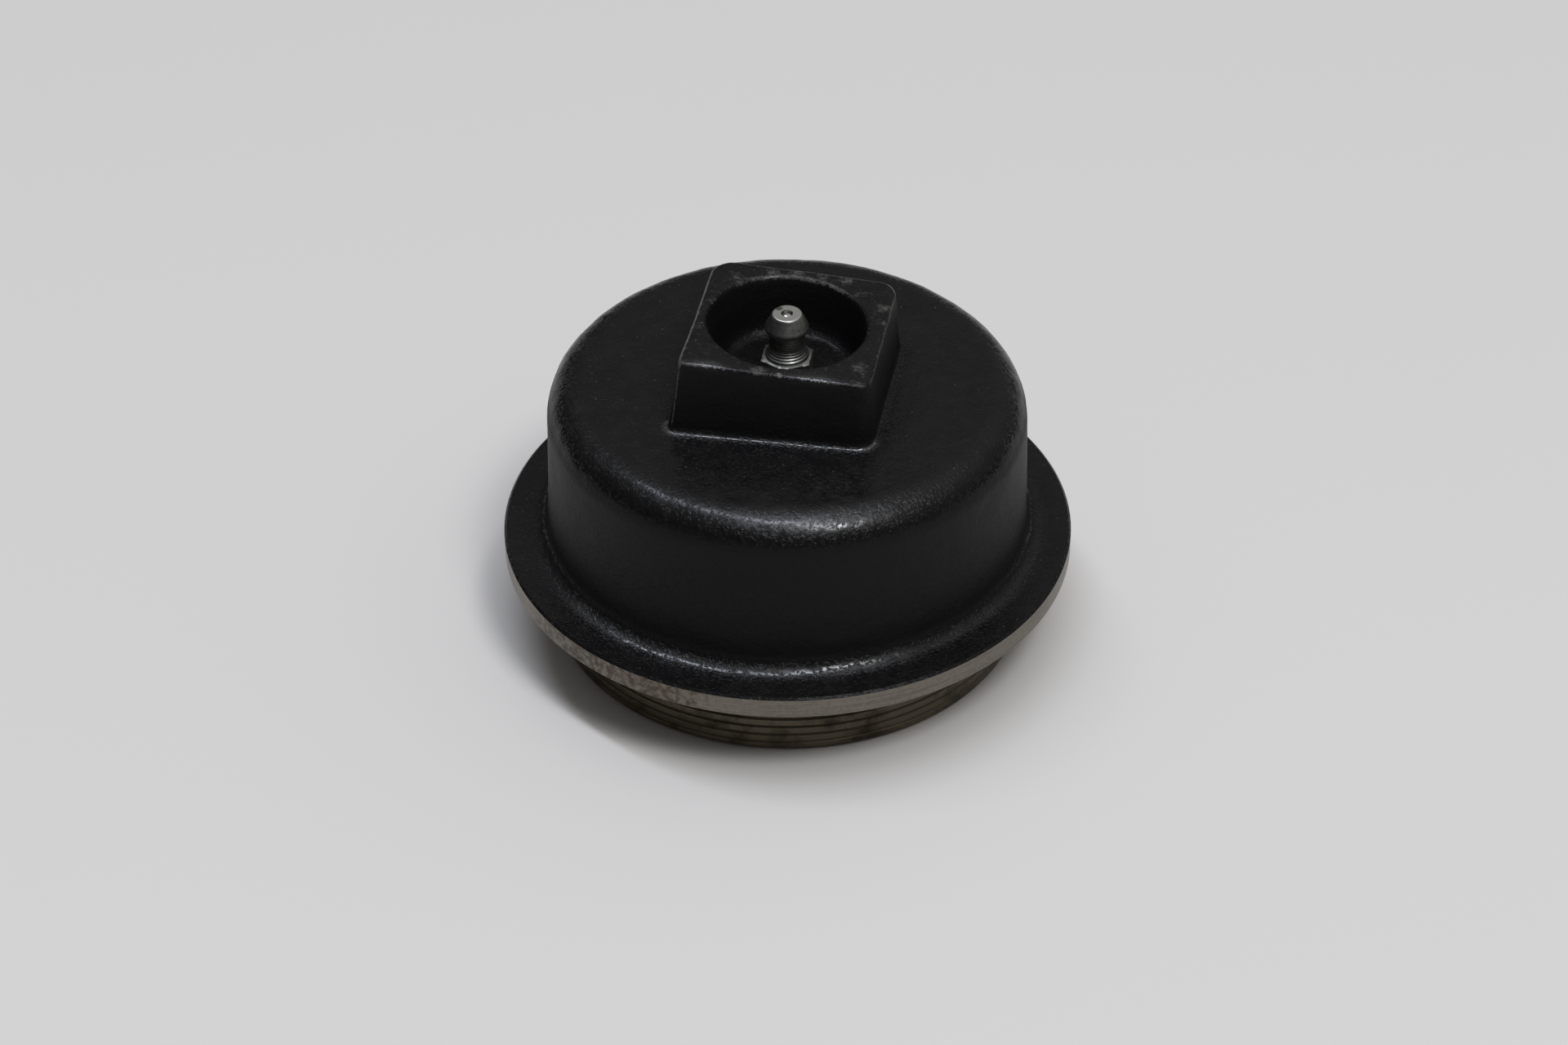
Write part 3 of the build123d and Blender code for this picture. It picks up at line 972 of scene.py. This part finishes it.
def lamp(name, azimuth, elevation, distance, width, height, power, colour):
    # faces the origin, with its azimuth measured from the camera's, to the right
    light = bpy.data.lights.new(name, "AREA")
    light.shape = "RECTANGLE"
    light.size = width
    light.size_y = height
    light.energy = power
    light.color = linear(colour)[:3]
    holder = bpy.data.objects.new(name, light)
    bpy.context.collection.objects.link(holder)
    holder.location = around(view["azimuth"] + azimuth, elevation, distance)
    holder.rotation_euler = (-holder.location).to_track_quat("-Z", "Y").to_euler()
    return holder


freshStart()
bpy.ops.mesh.primitive_plane_add(size=stage["size"], location=(0, 0, 0))
floor = bpy.context.object
floor.name = "floor"
bench = bpy.data.materials.new("paleBench")
bench.use_nodes = True
plug(bench, bench.node_tree.nodes["Principled BSDF"],
     {"Base Color": linear(stage["floor"]), "Roughness": stage["floorRoughness"],
      "Specular IOR Level": stage["floorLevel"]})
floor.data.materials.append(bench)

# a long ceiling light runs from front right to back left, with a square one at its near end
ceilingStrip = lamp("ceilingStrip", **strip)
ceilingStrip.rotation_euler = (0, 0, math.radians(view["azimuth"] + stripHeading))
lamp("ceilingHot", **hotLamp)

# a soft room: bright overhead and a little to the back right, dark towards the horizon
room = bpy.data.worlds.new("softRoom")
bpy.context.scene.world = room
room.use_nodes = True
right, backward, up = stage["skyward"]
heading = math.radians(view["azimuth"])
skyward = Vector((right * math.cos(heading) - backward * math.sin(heading),
                  right * math.sin(heading) + backward * math.cos(heading), up)).normalized()
towards = node(room, "ShaderNodeTexCoord", {})["Generated"]
facing = node(room, "ShaderNodeVectorMath", {0: towards, 1: skyward}, operation="DOT_PRODUCT")["Value"]
above = node(room, "ShaderNodeMath", {0: facing, 1: 0.0}, operation="MAXIMUM")[0]
rising = node(room, "ShaderNodeMath", {0: above, 1: stage["falloff"]}, operation="POWER")[0]
glow = node(room, "ShaderNodeMath", {0: rising, 1: stage["overhead"], 2: stage["horizon"]},
            operation="MULTIPLY_ADD")[0]
plug(room, room.node_tree.nodes["Background"], {"Color": (1, 1, 1, 1), "Strength": glow})

camera = bpy.data.objects.new("camera", bpy.data.cameras.new("camera"))
bpy.context.collection.objects.link(camera)
camera.data.lens = view["lens"]
camera.data.sensor_width = view["sensor"]
camera.location = around(view["azimuth"], view["elevation"], view["distance"] * mm)
rightward = Vector((math.cos(heading), math.sin(heading), 0))
aim = Vector((0, 0, view["aimHeight"] * mm)) - rightward * view["aimLeft"] * mm
facingCap = (aim - camera.location).to_track_quat("-Z", "Y")
camera.rotation_euler = (facingCap @ Quaternion((0, 0, 1), math.radians(view["roll"]))).to_euler()
bpy.context.scene.camera = camera
bpy.context.scene.view_settings.view_transform = "Standard"
print("stage, light and camera set")
